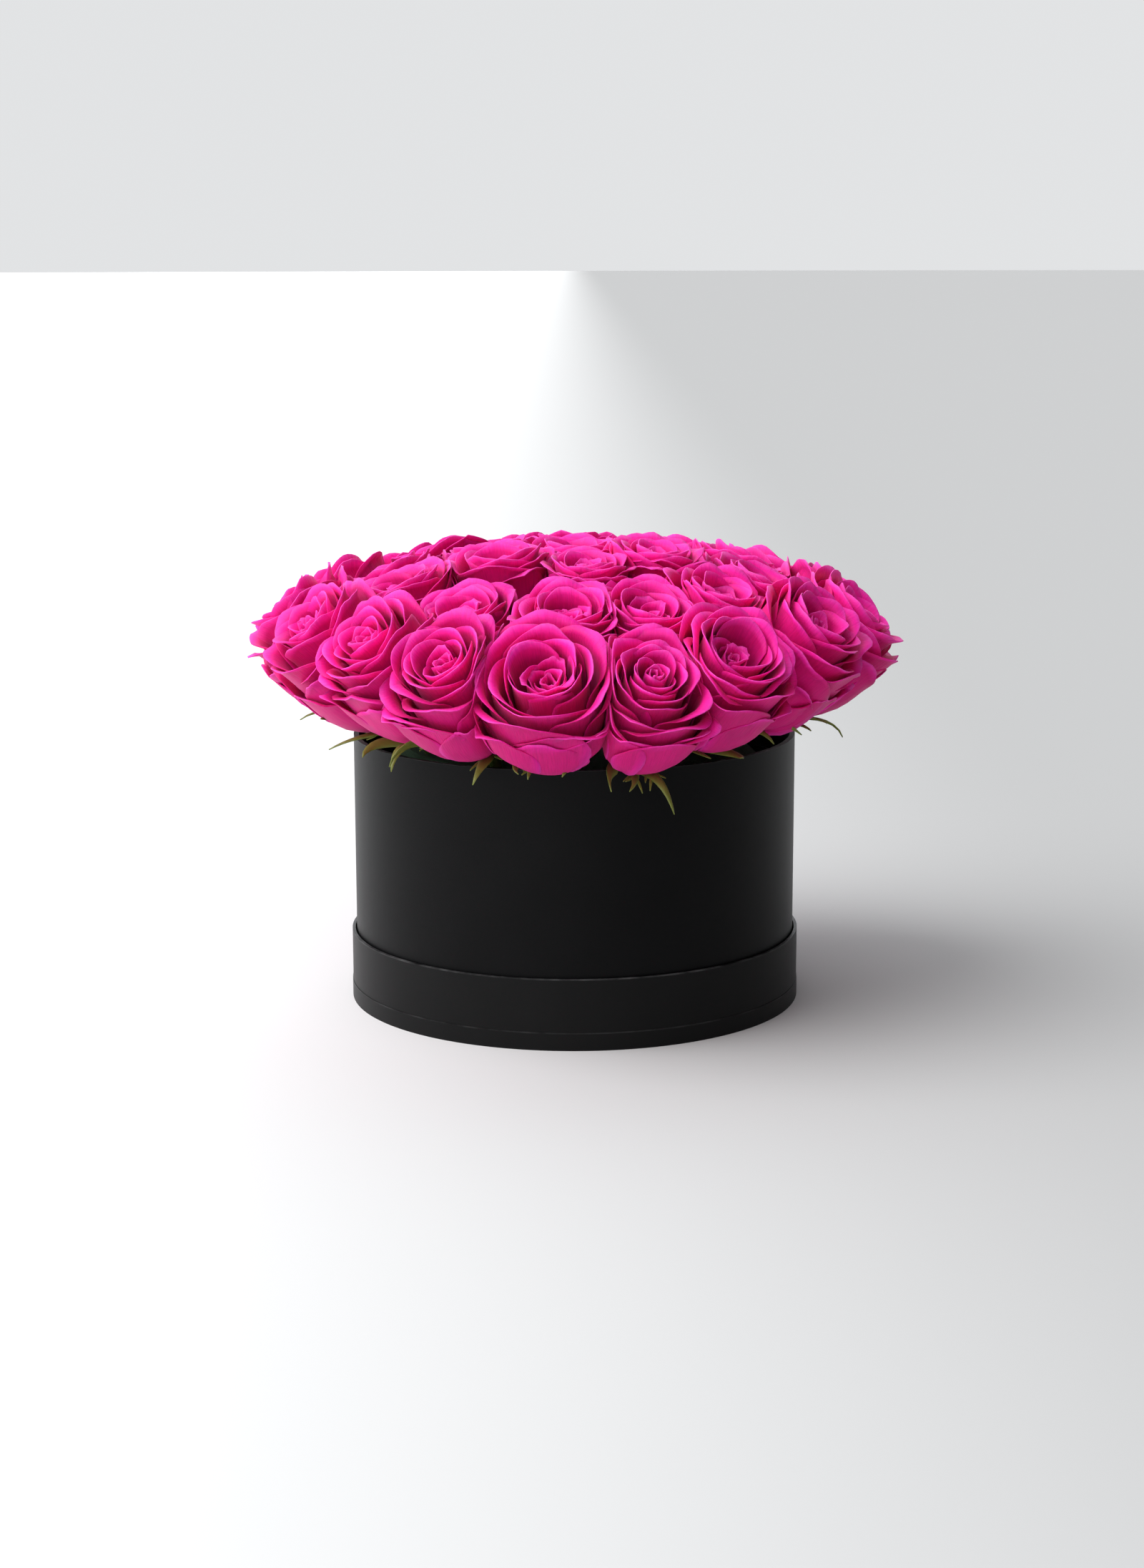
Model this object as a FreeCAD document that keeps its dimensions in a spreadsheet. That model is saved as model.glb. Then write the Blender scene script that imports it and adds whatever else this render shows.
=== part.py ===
"""A round flower box: papered card box standing in its own lid, with cut roses in floral foam."""

import FreeCAD, Part
import math
import os

import Sketcher
from FreeCAD import Placement, Rotation, Vector

UP = Vector(0, 0, 1)

# Driving sizes in millimetres, and angles in degrees: name, value, what it is.
SIZES = [
    ("wall_radius", 110, "outside of the papered wall"),
    ("box_height", 131, "height of the box without its lid"),
    ("paper", 0.25, "covering paper"),
    ("lining", 0.2, "lining paper"),
    ("wall_board", 2, "card of the wall"),
    ("floor_board", 2, "card of the floor"),
    ("turn_in", 15, "covering paper folded down inside the mouth"),
    ("turn_under", 12, "covering paper folded under the floor"),
    ("base_paper_inset", 3, "base paper stops short of the wall"),
    ("seam_width", 10, "covering paper's glued overlap at the back"),
    ("lid_height", 34.5, "height of the lid"),
    ("lid_clearance", 0.75, "air between the lid's rim and the wall"),
    ("rim_board", 1, "card of the lid's rim"),
    ("lid_board", 2, "card of the lid's face"),
    ("rim_turn_in", 8, "covering paper folded over the rim's edge"),
    ("face_flange", 8.5, "face paper glued up the outside of the rim"),
    ("pot_gap", 2, "air between the liner pot and the lining"),
    ("pot_wall", 0.8, "wall of the liner pot"),
    ("pot_lip", 1, "how far the pot's lip stands out"),
    ("pot_lip_height", 1.2, "height of the pot's lip"),
    ("pot_below_mouth", 16.3, "pot's lip below the box's mouth"),
    ("foam_gap", 0.5, "air between the foam and the pot"),
    ("foam_below_mouth", 5.5, "foam's top below the box's mouth"),
    ("foam_chamfer", 20, "foam's shaved top edge"),
    ("petal_gap", 0.5, "between the pressed petals of two roses"),
    ("bloom_foot", 6, "radius of the flat underside of a bloom"),
    ("bloom_widest", 0.68, "share of a bloom's height where it is widest"),
    ("bloom_crown", 0.72, "share of a bloom's radius that its crown keeps"),
    ("calyx_radius", 7, "green plate under the petals"),
    ("calyx_thickness", 0.8, "plate and sepals"),
    ("sepal_width", 4.4, "sepal where it leaves the plate"),
    ("sepal_length", 9, "a sepal from its foot to its point"),
    ("sepal_rise_share", 0.66, "a sepal's slope, as a share of the slope of the petals above it"),
    ("hip_radius", 5.5, "swelling of the stem under the calyx"),
    ("hip_length", 10, "length of that swelling"),
    ("stem_radius", 2.75, "stem"),
    ("stem_hole_clearance", 0.1, "foam pierced this much wider than the stem"),
    ("stem_hole_overrun", 2, "hole deeper than the stem's end"),
    ("stem_cut", 45, "slant of the cut at a stem's end"),
    ("outer_lean", 44, "lean of an outer bloom"),
    ("outer_stem_lean", 18, "lean of its stem in the foam"),
    ("outer_stem_length", 62, "straight part of its stem"),
    ("outer_foot_share", 0.84, "its foot's reach, as a share of the wall's radius"),
    ("outer_neck_draw", 13.9, "how far the bend in its neck draws the stem in"),
    ("outer_bloom_share", 0.282, "its widest radius, as a share of the wall's"),
    ("outer_bloom_height", 70, "from its foot to its face"),
    ("outer_face_rise", 35.5, "face above the box's mouth, less the bloom's radius"),
    ("second_lean", 24, "lean of a second-ring bloom"),
    ("second_stem_lean", 18, "lean of its stem in the foam"),
    ("second_stem_length", 85, "straight part of its stem"),
    ("second_foot_share", 0.6585, "its foot's reach, as a share of the wall's radius"),
    ("second_neck_draw", 2.25, "how far the bend in its neck draws the stem in"),
    ("second_bloom_share", 0.2455, "its widest radius, as a share of the wall's"),
    ("second_bloom_height", 53, "from its foot to its face"),
    ("second_face_rise", 51, "face above the box's mouth, less the bloom's radius"),
    ("third_lean", 10, "lean of a third-ring bloom"),
    ("third_stem_lean", 4, "lean of its stem in the foam"),
    ("third_stem_length", 86, "straight part of its stem"),
    ("third_foot_share", 0.3436, "its foot's reach, as a share of the wall's radius"),
    ("third_neck_draw", 0.77, "how far the bend in its neck draws the stem in"),
    ("third_bloom_share", 0.2364, "its widest radius, as a share of the wall's"),
    ("third_bloom_height", 53, "from its foot to its face"),
    ("third_face_rise", 65, "face above the box's mouth, less the bloom's radius"),
    ("centre_lean", 3, "lean of the middle bloom"),
    ("centre_stem_lean", 1, "lean of its stem in the foam"),
    ("centre_stem_length", 92, "straight part of its stem"),
    ("centre_foot_share", -0.0252, "its foot's reach, as a share of the wall's radius"),
    ("centre_neck_draw", 0.073, "how far the bend in its neck draws the stem in"),
    ("centre_bloom_share", 0.2364, "its widest radius, as a share of the wall's"),
    ("centre_bloom_height", 53, "from its foot to its face"),
    ("centre_face_rise", 69, "face above the box's mouth, less the bloom's radius"),
]

# Each rose of a ring: azimuth from the front, then what it adds to its ring's reach, face height,
# bloom radius and bloom height.
ROSES = {
    "outer": [
        (-6, 0, -12.5, 1, -8), (15, 1, -15, 0, -8), (34, 0, -6, 0, -4), (58, 0, 2, 1, 2),
        (82, 3, 0, 2, 2), (105, 2, 0, 1, 0), (128.5, 1, 0, 1, 0), (152.5, 0, -1, 1, 0),
        (176, 1, 0, 1, 0), (200, 0, -1, 1, 0), (223.5, 1, 0, 1, 0), (247.5, 2, 0, 1, 0),
        (271, 4, -1, 2, 2), (296, 2, 0, 0, 2), (315, -1, -3, -1, 0), (334, 1, -9, 0, -5),
    ],
    "second": [
        (-66, 0, 3, 0, 0), (-34.5, -1, -4, 0, 0), (-1, -2, -2, 0, 0), (23, -1, -2, 0, 0),
        (50, 0, 2, 0, 0), (80, 0, 3, 0, 0), (110, 0, 6, 0, 0), (140, 0, 6, 0, 0),
        (170, 0, 5, 0, 0), (200, 0, 5, 0, 0), (230, 0, 6, 0, 0), (262, 0, 3, 0, 0),
    ],
    "third": [
        (8, -3, 0, 0, 0), (62, 0, 4, 0, 0), (120, 0, 1, 0, 0),
        (180, 0, 1, 0, 0), (242, 0, 1, 0, 0), (310, 0, 3, 0, 0),
    ],
    "centre": [(0, 0, 0, 0, 0)],
}
BLOOM_MIDDLE = 0.6  # share of a bloom's height where neighbours' petals meet
SEPALS = 5
PRESS_REACH = 12  # blooms whose sides are nearer than this are pressed against each other

# Radii and heights that follow from the sizes, as formulas that the sketches share.
WALL_OUT = "sizes.wall_radius"
BOARD_OUT = f"({WALL_OUT} - sizes.paper)"
BOARD_IN = f"({BOARD_OUT} - sizes.wall_board)"
LINING_IN = f"({BOARD_IN} - sizes.lining)"
RIM_IN = f"({WALL_OUT} + sizes.lid_clearance)"
RIM_BOARD_IN = f"({RIM_IN} + sizes.paper)"
RIM_BOARD_OUT = f"({RIM_BOARD_IN} + sizes.rim_board)"
RIM_OUT = f"({RIM_BOARD_OUT} + sizes.paper)"
FLANGE_OUT = f"({RIM_OUT} + sizes.paper)"
LID_BOARD_TOP = "(sizes.paper + sizes.lid_board)"
TRAY_FLOOR = f"({LID_BOARD_TOP} + sizes.lining)"
BASE_PAPER_TOP = f"({TRAY_FLOOR} + sizes.paper)"
BOARD_BOTTOM = f"({BASE_PAPER_TOP} + sizes.paper)"
FLOOR_TOP = f"({BOARD_BOTTOM} + sizes.floor_board)"
BOX_FLOOR = f"({FLOOR_TOP} + sizes.lining)"
MOUTH = f"({TRAY_FLOOR} + sizes.box_height)"
BOARD_TOP = f"({MOUTH} - sizes.paper)"
TURN_IN_END = f"({MOUTH} - sizes.turn_in)"
POT_OUT = f"({LINING_IN} - sizes.pot_gap)"
POT_IN = f"({POT_OUT} - sizes.pot_wall)"
POT_FLOOR = f"({BOX_FLOOR} + sizes.pot_wall)"
POT_TOP = f"({MOUTH} - sizes.pot_below_mouth)"
FOAM_OUT = f"({POT_IN} - sizes.foam_gap)"
FOAM_TOP = f"({MOUTH} - sizes.foam_below_mouth)"

doc = FreeCAD.newDocument("flower_box")
sheet = doc.addObject("Spreadsheet::Sheet", "sizes")
for row, (alias, value, meaning) in enumerate(SIZES, start=1):
    sheet.set(f"A{row}", meaning)
    sheet.set(f"B{row}", str(value))
    sheet.setAlias(f"B{row}", alias)
doc.recompute()

exported = []


def measure(formula):
    """The present value of a formula of the sheet's sizes."""
    return float(sheet.evalExpression(formula))


def size(alias):
    return measure(f"sizes.{alias}")


def body(label):
    """An empty body with a label of its own."""
    made = doc.addObject("PartDesign::Body", label)
    made.Label = label
    return made


def sketch_on(owner, role, offset=None):
    """A sketch on one of a body's own origin planes."""
    sketch = owner.newObject("Sketcher::SketchObject", f"{owner.Name}_sketch")
    plane = next(each for each in owner.Origin.OriginFeatures if each.Role == role)
    sketch.AttachmentSupport = (plane, [""])
    sketch.MapMode = "FlatFace"
    if offset:
        sketch.AttachmentOffset = offset
    return sketch


def hold(sketch, kind, *at, formula):
    """One dimension of a sketch, bound to a formula of the sizes."""
    index = sketch.addConstraint(Sketcher.Constraint(kind, *at, measure(formula)))
    sketch.setExpression(f"Constraints[{index}]", formula)


def hold_point(sketch, edge, end, across, along):
    """Holds one end of an edge by its distances from the sketch's origin."""
    hold(sketch, "DistanceX", -1, 1, edge, end, formula=across)
    hold(sketch, "DistanceY", -1, 1, edge, end, formula=along)


def join_ends(sketch, edges):
    """Joins each edge's end to the next one's start, round to the first."""
    for edge in range(edges):
        sketch.addConstraint(Sketcher.Constraint("Coincident", edge, 2, (edge + 1) % edges, 1))


def polygon(sketch, corners):
    """A closed outline of straight edges, each corner given by two formulas."""
    points = [Vector(measure(across), measure(along), 0) for across, along in corners]
    for edge, start in enumerate(points):
        sketch.addGeometry(Part.LineSegment(start, points[(edge + 1) % len(points)]))
    join_ends(sketch, len(corners))
    for edge, (across, along) in enumerate(corners):
        hold_point(sketch, edge, 1, across, along)


def revolve(owner, sketch, angle=360, midplane=False):
    """Turns a sketch about the box's or the rose's own axis."""
    turned = owner.newObject("PartDesign::Revolution", f"{owner.Name}_turned")
    turned.Profile = sketch
    turned.ReferenceAxis = (sketch, ["V_Axis"])
    turned.Angle = angle
    turned.Midplane = midplane
    owner.Tip = turned
    return turned


def turned_piece(label, corners):
    """A piece that is round about the box's axis, from its outline of radii and heights."""
    piece = body(label)
    sketch = sketch_on(piece, "XZ_Plane")
    polygon(sketch, corners)
    revolve(piece, sketch)
    exported.append(piece)
    return piece


def ring(label, inside, outside, low, high):
    """A plain ring, or a disc where the inside radius is 0."""
    return turned_piece(label, [(inside, low), (outside, low), (outside, high), (inside, high)])


def seam(piece, board, radius, low, high):
    """The covering paper's glued overlap, a strip one paper thicker down the back."""
    sketch = sketch_on(piece, "YZ_Plane")
    outside = f"{radius} + sizes.paper"
    polygon(sketch, [(board, low), (outside, low), (outside, high), (board, high)])
    strip = revolve(piece, sketch, midplane=True)
    strip.setExpression("Angle", f"sizes.seam_width / {radius} * 180 / pi")


def make_lid():
    """The lid, face down: it holds the box as a tray."""
    turned_piece("lid_face_paper", [
        ("0", "0"), (RIM_OUT, "0"), (RIM_OUT, "sizes.face_flange"),
        (RIM_BOARD_OUT, "sizes.face_flange"), (RIM_BOARD_OUT, "sizes.paper"), ("0", "sizes.paper"),
    ])
    ring("lid_board", "0", RIM_BOARD_IN, "sizes.paper", LID_BOARD_TOP)
    ring("lid_lining", "0", RIM_BOARD_IN, LID_BOARD_TOP, TRAY_FLOOR)
    rim_board_top = "(sizes.lid_height - sizes.paper)"
    ring("lid_rim_band", RIM_BOARD_IN, RIM_BOARD_OUT, "sizes.paper", rim_board_top)
    step = "(sizes.face_flange + sizes.paper)"
    rim_turn_in_end = "(sizes.lid_height - sizes.rim_turn_in)"
    wrap = turned_piece("lid_rim_wrap", [
        (RIM_OUT, "0"), (FLANGE_OUT, "0"), (FLANGE_OUT, step), (RIM_OUT, step),
        (RIM_OUT, "sizes.lid_height"), (RIM_IN, "sizes.lid_height"), (RIM_IN, rim_turn_in_end),
        (RIM_BOARD_IN, rim_turn_in_end), (RIM_BOARD_IN, rim_board_top), (RIM_BOARD_OUT, rim_board_top),
        (RIM_BOARD_OUT, "sizes.face_flange"), (RIM_OUT, "sizes.face_flange"),
    ])
    seam(wrap, RIM_BOARD_OUT, RIM_OUT, step, "sizes.lid_height - sizes.paper")


def make_box():
    """The box: a card wall and floor, covered outside and lined inside."""
    turn_under_end = f"({WALL_OUT} - sizes.turn_under)"
    ring("base_paper", "0", f"{WALL_OUT} - sizes.base_paper_inset", TRAY_FLOOR, BASE_PAPER_TOP)
    ring("wall_board", BOARD_IN, BOARD_OUT, BOARD_BOTTOM, BOARD_TOP)
    ring("floor_board", "0", BOARD_IN, BOARD_BOTTOM, FLOOR_TOP)
    ring("wall_lining", LINING_IN, BOARD_IN, FLOOR_TOP, TURN_IN_END)
    ring("floor_lining", "0", LINING_IN, FLOOR_TOP, BOX_FLOOR)
    fold_in = f"({BOARD_IN} - sizes.paper)"
    wrap = turned_piece("wall_wrap", [
        (turn_under_end, BASE_PAPER_TOP), (WALL_OUT, BASE_PAPER_TOP), (WALL_OUT, MOUTH),
        (fold_in, MOUTH), (fold_in, TURN_IN_END), (BOARD_IN, TURN_IN_END), (BOARD_IN, BOARD_TOP),
        (BOARD_OUT, BOARD_TOP), (BOARD_OUT, BOARD_BOTTOM), (turn_under_end, BOARD_BOTTOM),
    ])
    seam(wrap, BOARD_OUT, WALL_OUT, BOARD_BOTTOM, BOARD_TOP)


def make_pot():
    """The thin watertight pot that the foam stands in."""
    lip_bottom = f"({POT_TOP} - sizes.pot_lip_height)"
    lip_out = f"({POT_OUT} + sizes.pot_lip)"
    turned_piece("liner_pot", [
        ("0", BOX_FLOOR), (POT_OUT, BOX_FLOOR), (POT_OUT, lip_bottom), (lip_out, lip_bottom),
        (lip_out, POT_TOP), (POT_IN, POT_TOP), (POT_IN, POT_FLOOR), ("0", POT_FLOOR),
    ])


def bloom_radius(ring_name):
    """A ring's blooms fill the box, so they grow with its wall."""
    return f"(sizes.wall_radius * sizes.{ring_name}_bloom_share)"


class Rose:
    """One rose's place: its origin is under the petals, z is its axis and x leans away from the box."""

    def __init__(self, ring_name, number, azimuth, more_reach, more_height, more_radius, taller):
        self.ring = ring_name
        self.label = "bloom_centre" if ring_name == "centre" else f"bloom_{ring_name}_{number:02d}"
        self.more_radius = more_radius
        self.taller = taller
        self.radius = measure(bloom_radius(ring_name)) + more_radius
        self.tall = size(f"{ring_name}_bloom_height") + taller
        lean_out = f"sizes.{ring_name}_bloom_height * sin(sizes.{ring_name}_lean * 1deg)"
        reach = measure(f"sizes.wall_radius * sizes.{ring_name}_foot_share + {lean_out}") + more_reach
        rise = size(f"{ring_name}_face_rise") + measure(bloom_radius(ring_name))
        height = measure(MOUTH) + rise + more_height
        lean = size(f"{ring_name}_lean")
        turn = Rotation(UP, azimuth - 90).multiply(Rotation(Vector(0, 1, 0), lean))
        outward = Rotation(UP, azimuth - 90).multVec(Vector(1, 0, 0))
        axis = turn.multVec(UP)
        face = outward * reach + UP * height
        self.placement = Placement(face - axis * self.tall, turn)
        self.middle = face - axis * self.tall * (1 - BLOOM_MIDDLE)
        self.pressed = []  # planes, each a point and a direction out of the bloom


def press_together(roses):
    """Gives each two near roses one plane between them, set back by half the gap on either side."""
    gap = size("petal_gap")
    for index, one in enumerate(roses):
        for other in roses[index + 1:]:
            across = other.middle - one.middle
            if across.Length > one.radius + other.radius + PRESS_REACH:
                continue
            share = (across.Length + one.radius - other.radius) / 2
            across.normalize()
            one.pressed.append((one.middle + across * (share - gap / 2), across))
            other.pressed.append((one.middle + across * (share + gap / 2), across * -1))


def block_beyond(point, direction, side):
    """Where a cube of this side stands so that one face lies on the plane, on its far side."""
    turn = Rotation(UP, direction)
    return Placement(point - turn.multVec(Vector(side / 2, side / 2, 0)), turn)


def trim(owner, point, direction, side):
    """Cuts away all of a body beyond a plane given in the body's own frame."""
    cut = owner.newObject("PartDesign::SubtractiveBox", f"{owner.Name}_trim")
    cut.Length = side
    cut.Width = side
    cut.Height = side
    cut.Placement = block_beyond(point, direction, side)
    owner.Tip = cut


def bloom_outline(sketch, rose):
    """Half of a bloom's section: flat foot, side arc to the widest ring, shoulder arc to the crown."""
    radius = f"({bloom_radius(rose.ring)} + {rose.more_radius})"
    tall = f"(sizes.{rose.ring}_bloom_height + {rose.taller})"
    widest = f"({tall} * sizes.bloom_widest)"
    crown = f"({radius} * sizes.bloom_crown)"
    foot = "sizes.bloom_foot"
    # The centre of each arc is level with the widest ring, so the two meet in one upright tangent.
    side_centre = f"(({foot}^2 + {widest}^2 - {radius}^2) / 2 / ({foot} - {radius}))"
    drop = f"({tall} - {widest})"
    shoulder_centre = f"(({crown}^2 + {drop}^2 - {radius}^2) / 2 / ({crown} - {radius}))"
    corners = [("0", "0"), (foot, "0"), (radius, widest), (crown, tall), ("0", tall)]
    points = [Vector(measure(across), measure(along), 0) for across, along in corners]
    sketch.addGeometry(Part.LineSegment(points[0], points[1]))
    for start, end, centre in ((1, 2, side_centre), (2, 3, shoulder_centre)):
        middle = Vector(measure(centre), measure(widest), 0)
        reach = (points[start] - middle).Length
        angles = [math.atan2(points[at].y - middle.y, points[at].x - middle.x) for at in (start, end)]
        sketch.addGeometry(Part.ArcOfCircle(Part.Circle(middle, UP, reach), *angles))
    sketch.addGeometry(Part.LineSegment(points[3], points[4]))
    sketch.addGeometry(Part.LineSegment(points[4], points[0]))
    join_ends(sketch, 5)
    for edge, (across, along) in enumerate(corners):
        hold_point(sketch, edge, 1, across, along)
    for edge in (1, 2):
        hold(sketch, "DistanceY", -1, 1, edge, 3, formula=widest)


def make_bloom(rose):
    """One bloom: a turned cup of petals, pressed flat where it meets its neighbours."""
    bloom = body(rose.label)
    sketch = sketch_on(bloom, "XZ_Plane")
    bloom_outline(sketch, rose)
    revolve(bloom, sketch)
    bloom.Placement = rose.placement
    back = rose.placement.inverse()
    for point, direction in rose.pressed:
        trim(bloom, back.multVec(point), back.Rotation.multVec(direction), 4 * rose.radius)
    exported.append(bloom)


def stem_path(owner, ring_name, more_length):
    """A stem's middle line: a bend in the neck towards the upright, then straight."""
    bend = math.radians(size(f"{ring_name}_lean") - size(f"{ring_name}_stem_lean"))
    turn = f"(sizes.{ring_name}_lean - sizes.{ring_name}_stem_lean)"
    draw_share = f"(cos(sizes.{ring_name}_stem_lean * 1deg) - cos(sizes.{ring_name}_lean * 1deg))"
    bend_radius = f"(sizes.{ring_name}_neck_draw / {draw_share})"
    radius = measure(bend_radius)
    neck = -(size("calyx_thickness") + size("hip_length") / 2)
    length = size(f"{ring_name}_stem_length") + more_length
    start = Vector(0, neck, 0)
    middle = Vector(radius, neck, 0)
    bent = middle + Vector(-math.cos(bend), -math.sin(bend), 0) * radius
    end = bent + Vector(math.sin(bend), -math.cos(bend), 0) * length
    path = sketch_on(owner, "XZ_Plane")
    path.addGeometry(Part.ArcOfCircle(Part.Circle(middle, UP, radius), math.pi, math.pi + bend))
    path.addGeometry(Part.LineSegment(bent, end))
    path.addConstraint(Sketcher.Constraint("Tangent", 0, 2, 1, 1))
    neck_formula = "-(sizes.calyx_thickness + sizes.hip_length / 2)"
    hold_point(path, 0, 1, "0", neck_formula)
    hold_point(path, 0, 3, bend_radius, neck_formula)
    bend_end = f"{neck_formula} - {bend_radius} * sin({turn} * 1deg)"
    hold(path, "DistanceY", -1, 1, 0, 2, formula=bend_end)
    hold(path, "Distance", 1, formula=f"sizes.{ring_name}_stem_length + {more_length}")
    return path, start, end, end - bent


def stem_rod(owner, ring_name, radius, more_length):
    """A round rod along a stem's path; gives back the path's end and last direction."""
    path, start, end, last = stem_path(owner, ring_name, more_length)
    section = sketch_on(owner, "XY_Plane", Placement(Vector(0, 0, start.y), Rotation()))
    section.addGeometry(Part.Circle(Vector(0, 0, 0), UP, measure(radius)))
    section.addConstraint(Sketcher.Constraint("Coincident", 0, 3, -1, 1))
    hold(section, "Radius", 0, formula=radius)
    rod = owner.newObject("PartDesign::AdditivePipe", f"{owner.Name}_rod")
    rod.Profile = section
    rod.Spine = (path, ["Edge1", "Edge2"])
    owner.Tip = rod
    return Vector(end.x, 0, end.y), Vector(last.x, 0, last.y).normalize()


def stem_pattern(ring_name):
    """A ring's stem with the swelling at its top and a slanted cut at its end."""
    stem = body(f"{ring_name}_stem_pattern")
    end, last = stem_rod(stem, ring_name, "sizes.stem_radius", 0)
    hip = sketch_on(stem, "XZ_Plane")
    top = "-sizes.calyx_thickness"
    bottom = f"{top} - sizes.hip_length"
    polygon(hip, [("0", bottom), ("sizes.stem_radius", bottom), ("sizes.hip_radius", top), ("0", top)])
    revolve(stem, hip)
    slant = Rotation(Vector(0, 1, 0), size("stem_cut")).multVec(last)
    trim(stem, end - last * size("stem_radius"), slant, size(f"{ring_name}_stem_length"))
    return stem


def hole_pattern(ring_name):
    """What a ring's stem pierces out of the foam."""
    hole = body(f"{ring_name}_hole_pattern")
    stem_rod(hole, ring_name, "sizes.stem_radius + sizes.stem_hole_clearance", size("stem_hole_overrun"))
    return hole


def wall_slope(ring_name):
    """How steeply a ring's blooms rise from the edge of their feet, in degrees."""
    foot = size("bloom_foot")
    radius = measure(bloom_radius(ring_name))
    widest = size(f"{ring_name}_bloom_height") * size("bloom_widest")
    side_centre = (foot**2 + widest**2 - radius**2) / 2 / (foot - radius)
    return math.degrees(math.atan2(foot - side_centre, widest))


def sepal_pattern(ring_name):
    """The green plate under the petals with five pointed sepals."""
    calyx = body(f"{ring_name}_sepal_pattern")
    plate = sketch_on(calyx, "XY_Plane")
    plate.addGeometry(Part.Circle(Vector(0, 0, 0), UP, size("calyx_radius")))
    plate.addConstraint(Sketcher.Constraint("Coincident", 0, 3, -1, 1))
    hold(plate, "Radius", 0, formula="sizes.calyx_radius")
    disc = calyx.newObject("PartDesign::Pad", f"{ring_name}_calyx_plate")
    disc.Profile = plate
    disc.setExpression("Length", "sizes.calyx_thickness")
    disc.Reversed = True
    # The first sepal stands half a turn step off the side that faces out over the box's wall.
    around_axis = Rotation(UP, 180 / SEPALS)
    rise = Rotation(Vector(0, 1, 0), -size("sepal_rise_share") * wall_slope(ring_name))
    foot = around_axis.multVec(Vector(size("bloom_foot"), 0, 0))
    tilt = Placement(foot, around_axis.multiply(rise))
    leaf = sketch_on(calyx, "XY_Plane", tilt)
    half = "(sizes.sepal_width / 2)"
    belly = "(sizes.sepal_width * 0.6)"
    polygon(leaf, [
        ("0", f"-{half}"), ("sizes.sepal_length * 0.4", f"-{belly}"), ("sizes.sepal_length", "0"),
        ("sizes.sepal_length * 0.4", belly), ("0", half),
    ])
    blade = calyx.newObject("PartDesign::Pad", f"{ring_name}_sepal")
    blade.Profile = leaf
    blade.setExpression("Length", "sizes.calyx_thickness")
    blade.Reversed = True
    around = calyx.newObject("PartDesign::PolarPattern", f"{ring_name}_sepals")
    around.Originals = [blade]
    around.Axis = (plate, ["N_Axis"])
    around.Angle = 360
    around.Occurrences = SEPALS
    calyx.Tip = around
    return calyx


def placed(pattern, rose):
    """A copy of a pattern's solid at a rose's place."""
    shape = pattern.Shape.copy()
    shape.Placement = rose.placement
    return shape


def pressed_copy(pattern, rose):
    """The same, kept on the rose's own side of the planes between it and its neighbours."""
    shape = placed(pattern, rose)
    side = 4 * rose.radius
    blocks = []
    for point, direction in rose.pressed:
        block = Part.makeBox(side, side, side)
        block.Placement = block_beyond(point, direction, side)
        blocks.append(block)
    # The tip of a sepal beyond a plane is cut off, and may leave an offcut on the near side.
    return max(shape.cut(blocks).Solids, key=lambda solid: solid.Volume)


def group(label, shapes):
    """Like pieces in one node, each a solid of its own."""
    made = doc.addObject("Part::Feature", label)
    made.Label = label
    made.Shape = Part.makeCompound([solid for shape in shapes for solid in shape.Solids])
    return made


def make_roses():
    """Every rose's bloom, sepals and stem; gives back the holes that the stems pierce."""
    roses = []
    for ring_name, places in ROSES.items():
        for number, place in enumerate(places, start=1):
            roses.append(Rose(ring_name, number, *place))
    press_together(roses)
    for rose in roses:
        make_bloom(rose)
    calyxes = {ring_name: sepal_pattern(ring_name) for ring_name in ROSES}
    stems = {ring_name: stem_pattern(ring_name) for ring_name in ROSES}
    holes = {ring_name: hole_pattern(ring_name) for ring_name in ROSES}
    doc.recompute()
    for ring_name in ROSES:
        own = [rose for rose in roses if rose.ring == ring_name]
        calyx = calyxes[ring_name]
        exported.append(group(f"sepals_{ring_name}", [pressed_copy(calyx, rose) for rose in own]))
        exported.append(group(f"stems_{ring_name}", [placed(stems[ring_name], rose) for rose in own]))
    return group("stem_holes", [placed(holes[rose.ring], rose) for rose in roses])


def make_foam(holes):
    """The foam block with its top edge shaved, pierced by every stem."""
    block = body("foam_blank")
    sketch = sketch_on(block, "XZ_Plane")
    shaved = f"({FOAM_TOP} - sizes.foam_chamfer)"
    polygon(sketch, [
        ("0", POT_FLOOR), (FOAM_OUT, POT_FLOOR), (FOAM_OUT, shaved),
        (f"{FOAM_OUT} - sizes.foam_chamfer", FOAM_TOP), ("0", FOAM_TOP),
    ])
    revolve(block, sketch)
    foam = doc.addObject("Part::Cut", "foam_block")
    foam.Label = "foam_block"
    foam.Base = block
    foam.Tool = holes
    exported.append(foam)


def check():
    """Stops before anything is written if an object failed or a piece has no sound solid."""
    failed = [each.Label for each in doc.Objects if {"Invalid", "Error"} & set(each.State)]
    if failed:
        raise RuntimeError(f"failed objects: {failed}")
    for piece in exported:
        if piece.Shape.isNull() or not piece.Shape.isValid() or not piece.Shape.Solids:
            raise RuntimeError(f"{piece.Label} has no valid solid")


make_lid()
make_box()
make_pot()
make_foam(make_roses())
doc.recompute()
check()
os.makedirs("parts", exist_ok=True)
for piece in exported:
    piece.Shape.exportStep(os.path.join("parts", f"{piece.Label}.step"))
    solids = len(piece.Shape.Solids)
    print(f"{piece.Label}: {solids} solid(s), {piece.Shape.Volume / 1000:.2f} cm3")
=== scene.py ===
import math

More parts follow.
